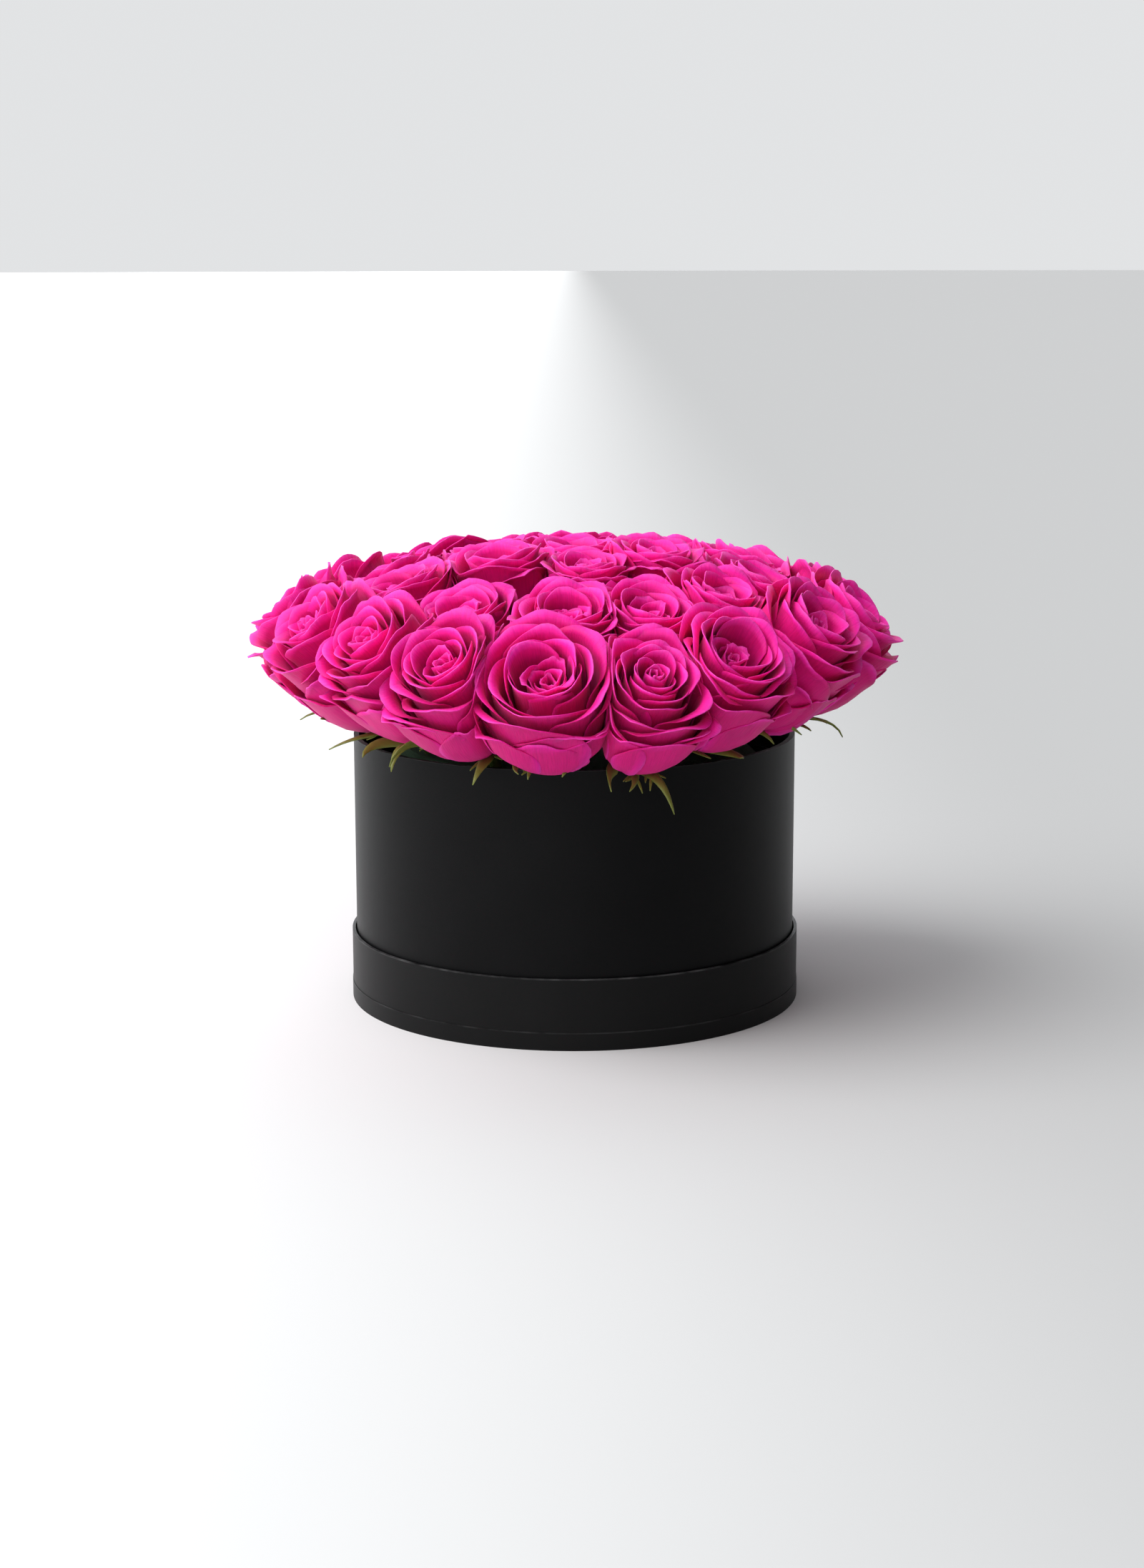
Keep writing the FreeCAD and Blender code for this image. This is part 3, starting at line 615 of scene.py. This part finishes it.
def form_petal(shape):
    """Wraps a petal round the bloom's axis as a cup's side, and rolls its rim back. Millimetres.

    Gives its points, how near each is to the rim, and each one's place on the flat petal.
    """
    across, along = cut_outline(shape["corner"])
    aside = np.abs(across)
    side = cup_side(shape)
    total = side[2][-1]
    tip = shape["tip"] * np.exp(-((across / 0.22) ** 2)) * along**4
    up = (along * total + tip) * (1 - shape["round"] * aside**2)
    share = up / total
    out, rise = roll_back(shape, up, aside, side)
    wave_out, wave_up = ruffles(shape, across, share)
    out += shape["spiral"] * across * np.clip(share * 1.3, 0, 1) + wave_out
    rise += wave_up - shape["low"]
    out *= 1 + shape["flat"] * (1 / np.cos(np.clip(across * shape["half"], -1.15, 1.15)) - 1)
    out = np.maximum(out, 0.15)
    spread = 0.55 + 0.45 * np.sin(np.pi / 2 * np.clip(share / 0.75, 0, 1))
    angle = across * shape["half"] * spread
    forward, sideways = out * np.cos(angle), out * np.sin(angle)
    lean_cos, lean_sin = math.cos(shape["tilt"]), math.sin(shape["tilt"])
    ahead = forward * lean_cos + rise * lean_sin
    height = rise * lean_cos - forward * lean_sin + shape["low"]
    turn_cos, turn_sin = math.cos(shape["azimuth"]), math.sin(shape["azimuth"])
    east = ahead * turn_cos - sideways * turn_sin
    north = ahead * turn_sin + sideways * turn_cos
    points = np.stack([east, north, height], -1)
    width = shape["reach"] * shape["half"]
    margin = np.minimum(total * (1 - share), (1 - aside) * width * 1.2)
    lay = np.stack([across * width, share * total, np.full(len(across), shape["phase"] * 40)], -1)
    return points, np.clip(1 - margin / RIM_WIDTH, 0, 1), lay


def by_turn(turn, *pairs):
    """A value for a petal's place in the bloom, 0 at the heart to 1 outside, from (place, value) pairs."""
    return np.interp(turn, [pair[0] for pair in pairs], [pair[1] for pair in pairs])


def spiral_petal(draw, azimuth, turn, reach, rim, tall, open_share, in_heart):
    """The shape of a petal at its turn of the spiral, 0 at the heart to 1 outside."""
    return {
        "azimuth": azimuth + draw.normal(0, 0.17),
        "foot": FOOT_RADIUS + FOOT_SPREAD * turn,
        "fullness": by_turn(turn, (0, 0.62), (0.5, 0.60), (1, 0.56)),
        "low": 0.5 + tall * 0.10 * (1 - turn),
        "reach": reach * (1 + draw.uniform(-0.055, 0.045)),
        "rim": rim + draw.uniform(-1, 1) * (0.5 + 1.8 * open_share * in_heart + 1.6 * turn),
        "corner": by_turn(turn, (0, 0.25), (0.2, 0.35), (0.3, 0.5), (0.7, 0.7), (1, 0.85)),
        "belly": by_turn(turn, (0, 0.86), (0.22, 0.80), (0.5, 0.76), (1, 0.72)),
        "flare": by_turn(turn, (0, -0.4), (0.2, open_share - 0.2), (0.24, open_share + 0.9),
                         (0.45, 2.0), (0.8, 2.8), (1, 2.2)),
        "round": by_turn(turn, (0, 0.02), (0.3, 0.04), (1, 0.08)) * draw.uniform(0.7, 1.3),
        "tip": by_turn(turn, (0, 1.2), (0.2, 1 + 3 * open_share), (0.25, 1.0), (0.6, 2.0),
                       (1, 3.2)) * draw.uniform(0.4, 1.4),
        "roll": by_turn(turn, (0, 0.4), (0.2, 0.7), (0.3, 1.8), (0.5, 3.8), (0.7, 6.5),
                        (0.85, 9.0), (1, 12.0)) * draw.uniform(0.75, 1.25),
        "side_roll": by_turn(turn, (0, 0), (0.3, 0.25), (0.6, 0.7), (1, 1)) * draw.uniform(0.5, 1.3),
        "curl": by_turn(turn, (0, 2.5), (0.3, 3.0), (0.6, 4.0), (1, 5.2)) * draw.uniform(0.9, 1.15),
        "spiral": by_turn(turn, (0, 0.7), (0.2, 1.0), (0.5, 1.5), (1, 2.0)),
        "wave": by_turn(turn, (0, 0.15), (0.3, 0.25), (0.6, 0.5), (1, 0.9)) * draw.uniform(0.5, 1.5),
        "waves": draw.uniform(1.0, 2.2),
        "phase": draw.uniform(0, 6.28),
        "half": math.radians(by_turn(turn, (0, 125), (0.1, 105), (0.22, 88), (0.5, 76), (0.75, 68),
                                     (1, 60))) * draw.uniform(0.92, 1.08),
        "flat": draw.uniform(-0.22, 0.2) * turn,
        "tilt": draw.normal(0, 0.012 + 0.02 * turn) + 0.05 * open_share * in_heart * draw.uniform(-1, 1),
    }


def guard_petal(draw, azimuth, radius, tall):
    """The shape of one of the short broad petals that close the bloom's outer side from below."""
    return {
        "azimuth": azimuth + draw.normal(0, 0.16),
        "foot": FOOT_RADIUS + FOOT_SPREAD,
        "fullness": 0.60,
        "low": 0.4,
        "reach": radius * draw.uniform(0.86, 0.94),
        "rim": tall * draw.uniform(0.67, 0.79),
        "corner": draw.uniform(0.75, 0.95),
        "belly": 0.82,
        "flare": draw.uniform(0.5, 2.5),
        "round": 0.08,
        "tip": draw.uniform(1, 4),
        "roll": draw.uniform(5, 10),
        "side_roll": draw.uniform(0.6, 1.3),
        "curl": draw.uniform(3.6, 6.0),
        "spiral": draw.uniform(-1.5, 2.0),
        "wave": draw.uniform(0.6, 1.6),
        "waves": draw.uniform(1.0, 2.4),
        "phase": draw.uniform(0, 6.28),
        "half": math.radians(draw.uniform(40, 56)),
        "flat": draw.uniform(-0.2, 0.1),
        "tilt": draw.uniform(0.0, 0.07),
    }


def bloom_petals(place, traits, draw):
    """All the petals of a bloom, from its heart outwards, each with its rim, place and tone."""
    radius, tall, open_share = place.radius * 1000 * traits["fill"], place.tall * 1000, traits["open"]
    heart = int(round(7 + 2 * open_share))
    hollow = 6.8 + 5.6 * open_share
    azimuth = traits["turn"]
    petals = []
    for number in range(traits["petals"]):
        azimuth += SPIRAL_TURN
        in_heart = number < heart
        if in_heart:
            step = number / heart
            turn = HEART_END * step
            reach = 1.3 + (4.9 + 3.4 * open_share) * step
            rim = tall * (0.97 - 0.17 * open_share + (0.02 + 0.07 * open_share) * step)
        else:
            step = (number - heart) / (traits["petals"] - 1 - heart)
            turn = HEART_END + (1 - HEART_END) * step
            reach = hollow + (radius * 0.94 - hollow) * step**1.05
            shoulder = np.clip((reach / radius - 0.55) / 0.45, 0, 1)
            rim = tall * (1 - 0.02 * open_share * (1 - step) - traits["shoulder"] * shoulder**1.6)
        shape = spiral_petal(draw, azimuth, turn, reach, rim, tall, open_share, in_heart)
        points, near_rim, lay = form_petal(shape)
        if in_heart:
            points[:, 1] += traits["heart_aside"] * np.clip(points[:, 2] / tall, 0, 1)
        petals.append((points, near_rim, lay, draw.uniform()))
    for number in range(traits["guards"]):
        spread = (number + 0.5) / traits["guards"] * 2 - 1
        shape = guard_petal(draw, spread * 1.9, radius, tall)
        petals.append((*form_petal(shape), draw.uniform()))
    return petals


def press(points, place):
    """Squeezes what lies near or beyond a neighbour's plane back to the bloom's own side."""
    for point, direction in place.pressed:
        deep = (points - point) @ direction
        beyond = deep > -PRESS_DEPTH
        kept = -PRESS_DEPTH * np.exp(-(deep + PRESS_DEPTH) / PRESS_DEPTH)
        points = points + np.outer(np.where(beyond, kept - deep, 0), direction)
    return points


def petal_material():
    """Velvety petal: deep pink, paler along the rim, with fine veins that run up it. The deep pink away from
    the rim is partly the petal's own colour and partly painted shade for the bloom's depths and undersides.
    """
    material, tree, surface = new_material("petals")
    rim = add(tree, "ShaderNodeAttribute", attribute_name="rim")
    tone = add(tree, "ShaderNodeAttribute", attribute_name="tone")
    lay = add(tree, "ShaderNodeAttribute", attribute_name="lay").outputs["Vector"]
    # Painted shade: the ramp is darkest far from the rim, which darkens the petals' depths and undersides as
    # well as giving the petal its paler rim.
    pinks_and_painted_shade = add(tree, "ShaderNodeValToRGB", Fac=rim.outputs["Fac"])
    pinks_and_painted_shade.color_ramp.elements[0].color = (0.71, 0.0022, 0.19, 1)
    pinks_and_painted_shade.color_ramp.elements[1].color = (0.94, 0.048, 0.45, 1)
    pinks_and_painted_shade.color_ramp.elements.new(0.65).color = (0.89, 0.008, 0.33, 1)
    stretch = add(tree, "ShaderNodeVectorMath", operation="MULTIPLY")
    tree.links.new(lay, stretch.inputs[0])
    stretch.inputs[1].default_value = (1.5, 0.10, 1)
    veins = add(tree, "ShaderNodeTexNoise", Vector=stretch.outputs["Vector"], Scale=1.0, Detail=3.0,
                Roughness=0.6)
    velvet = add(tree, "ShaderNodeTexNoise", Vector=lay, Scale=1.9, Detail=2.0)
    depth = add(tree, "ShaderNodeMath", operation="MULTIPLY")
    tree.links.new(remap(tree, veins.outputs["Fac"], 0.90, 1.06, start=0.35, end=0.65), depth.inputs[0])
    tree.links.new(remap(tree, tone.outputs["Fac"], 0.86, 1.04), depth.inputs[1])
    shade = add(tree, "ShaderNodeHueSaturation", Color=pinks_and_painted_shade.outputs["Color"], Value=depth.outputs[0])
    tree.links.new(shade.outputs[0], surface.inputs["Base Color"])
    relief = add(tree, "ShaderNodeMath", operation="MULTIPLY_ADD")
    tree.links.new(velvet.outputs["Fac"], relief.inputs[0])
    relief.inputs[1].default_value = 0.35
    tree.links.new(veins.outputs["Fac"], relief.inputs[2])
    add_relief(tree, surface, relief.outputs[0], 0.5, 0.0004)
    surface.inputs["Roughness"].default_value = 0.55
    surface.inputs["Specular IOR Level"].default_value = 0.2
    surface.inputs["Sheen Weight"].default_value = 0.15
    surface.inputs["Sheen Tint"].default_value = (1, 0.35, 0.7, 1)
    surface.inputs["Subsurface Weight"].default_value = 0.15
    surface.inputs["Subsurface Radius"].default_value = (1, 0.12, 0.35)
    surface.inputs["Subsurface Scale"].default_value = 0.003
    return material


PETALS = petal_material()

# What sets single roses apart: how open it is, how many petals it has, how far it pushes into its
# neighbours, how low it hangs, which way its spiral starts and how far its heart leans aside.
USUAL = {
    "petals": 30, "guards": 5, "push": 0.0, "fill": 1.0, "shoulder": 0.2, "heart_aside": 0.0, "drop": -0.001,
}
USUAL_INSIDE = {**USUAL, "guards": 0, "fill": 1.05, "shoulder": 0.1}
ROSE_TRAITS = {
    "bloom_outer_01": {
        "open": 1.0, "petals": 28, "push": 0.009, "fill": 1.10, "heart_aside": 3.0, "drop": -0.002,
    },
    "bloom_outer_02": {"open": 0.0, "petals": 33, "push": -0.002},
    "bloom_outer_03": {"open": 0.9, "push": 0.001, "heart_aside": -2.0},
    "bloom_outer_04": {"open": 0.6},
    "bloom_outer_14": {"open": 0.3, "push": 0.001},
    "bloom_outer_15": {"open": 0.3, "push": 0.001},
    "bloom_outer_16": {"open": 0.55, "push": -0.001},
}
for number, place in enumerate(rose_places):
    draw = np.random.default_rng(100 + number)
    outer = "outer" in place.node
    usual = USUAL if outer else USUAL_INSIDE
    chance = {"open": draw.uniform(0, 0.9), "turn": draw.uniform(0, 6.28)}
    place.traits = {**usual, **chance, **ROSE_TRAITS.get(place.node, {})}
    if outer:
        lowest = place.middle + place.out * (place.radius + place.traits["drop"])
        place.pressed.append((lowest, place.out))
for number, one in enumerate(rose_places):
    for other in rose_places[number + 1:]:
        across = other.middle - one.middle
        apart = np.linalg.norm(across)
        if apart > one.radius + other.radius + PRESS_REACH:
            continue
        across /= apart
        share = (apart + one.radius + one.traits["push"] - other.radius - other.traits["push"]) / 2
        one.pressed.append((one.middle + across * (share + PRESS_OVER), across))
        other.pressed.append((one.middle + across * (share - PRESS_OVER), -across))

for number, place in enumerate(rose_places):
    petals = bloom_petals(place, place.traits, np.random.default_rng(7 + number))
    points = np.concatenate([press(place.to_frame(petal[0]), place) for petal in petals])
    faces = np.concatenate([BLANK_FACES + len(BLANK_POINTS) * step for step in range(len(petals))])
    rose = thin_piece(place.node.replace("bloom", "rose"), points.tolist(), faces.tolist())
    near_rim = np.concatenate([petal[1] for petal in petals]).astype(np.float32)
    lay = np.concatenate([petal[2] for petal in petals]).astype(np.float32)
    tone = np.repeat([petal[3] for petal in petals], len(BLANK_POINTS)).astype(np.float32)
    rose.data.attributes.new("rim", "FLOAT", "POINT").data.foreach_set("value", near_rim)
    rose.data.attributes.new("tone", "FLOAT", "POINT").data.foreach_set("value", tone)
    rose.data.attributes.new("lay", "FLOAT_VECTOR", "POINT").data.foreach_set("vector", lay.ravel())
    thicken(rose, PETAL_THICKNESS)
    rose.data.materials.append(PETALS)
    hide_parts(place.node)
    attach(rose, "insert")

# ---- Studio ----
# Not part of the object: a pale floor, painted paler on the left and darker on the right as a painted pool
# of the window light, a room bright behind the box and to its left, one broad window light and one ceiling
# light from the front left, and the camera in front.
bpy.ops.object.select_all(action="DESELECT")
bpy.ops.mesh.primitive_circle_add(vertices=96, radius=40, fill_type="NGON", location=(0, 0, 0))
floor = bpy.context.object
floor.name = "studio_floor"
floor_material, tree, surface = new_material("floor_painted_lit_left")
aside = add(tree, "ShaderNodeSeparateXYZ", Vector=add(tree, "ShaderNodeTexCoord").outputs["Object"])
# Painted light: the floor's colour runs from pale on the left to dark on the right, as the window light from
# the left would make it.
paleness = remap(tree, aside.outputs["X"], 0.84, 0.42, start=-0.45, end=0.35, smooth=True)
tree.links.new(paleness, surface.inputs["Base Color"])
surface.inputs["Roughness"].default_value = 0.8
surface.inputs["Specular IOR Level"].default_value = 0.0
floor.data.materials.append(floor_material)

world = bpy.data.worlds.new("studio")
bpy.context.scene.world = world
world.use_nodes = True
tree = world.node_tree
towards = add(tree, "ShaderNodeVectorMath", operation="DOT_PRODUCT")
tree.links.new(add(tree, "ShaderNodeTexCoord").outputs["Generated"], towards.inputs[0])
towards.inputs[1].default_value = Vector((-0.55, 0.75, 0.35)).normalized()
glow = remap(tree, towards.outputs["Value"], 0.06, 1.6, start=0.05, end=0.95, smooth=True)
around = tree.nodes["Background"]
around.inputs["Color"].default_value = (0.94, 0.97, 1.0, 1)
tree.links.new(glow, around.inputs["Strength"])
seen = add(tree, "ShaderNodeBackground", Color=(0.76, 0.77, 0.78, 1))
choose = add(tree, "ShaderNodeMixShader")
tree.links.new(add(tree, "ShaderNodeLightPath").outputs["Is Camera Ray"], choose.inputs[0])
tree.links.new(around.outputs[0], choose.inputs[1])
tree.links.new(seen.outputs[0], choose.inputs[2])
tree.links.new(choose.outputs[0], tree.nodes["World Output"].inputs["Surface"])

for name, energy, spread, direction in (
    ("window_light", 2.45, 55, (0.86, 0.34, -0.95)), ("ceiling_light", 2.15, 110, (0.80, 1.0, -0.75)),
):
    light = bpy.data.lights.new(name, "SUN")
    light.energy = energy
    light.angle = math.radians(spread)
    lamp = bpy.data.objects.new(name, light)
    bpy.context.scene.collection.objects.link(lamp)
    lamp.rotation_euler = Vector(direction).to_track_quat("-Z", "Y").to_euler()

camera = bpy.data.objects.new("camera", bpy.data.cameras.new("camera"))
bpy.context.scene.collection.objects.link(camera)
camera.data.lens = 63.04
camera.data.sensor_width = 36
camera.location = (-0.0006, -1.3530, 0.3712)
camera.rotation_euler = (math.radians(90 - 11.10), math.radians(0.128), 0)
bpy.context.scene.camera = camera
bpy.context.scene.view_settings.view_transform = "Standard"
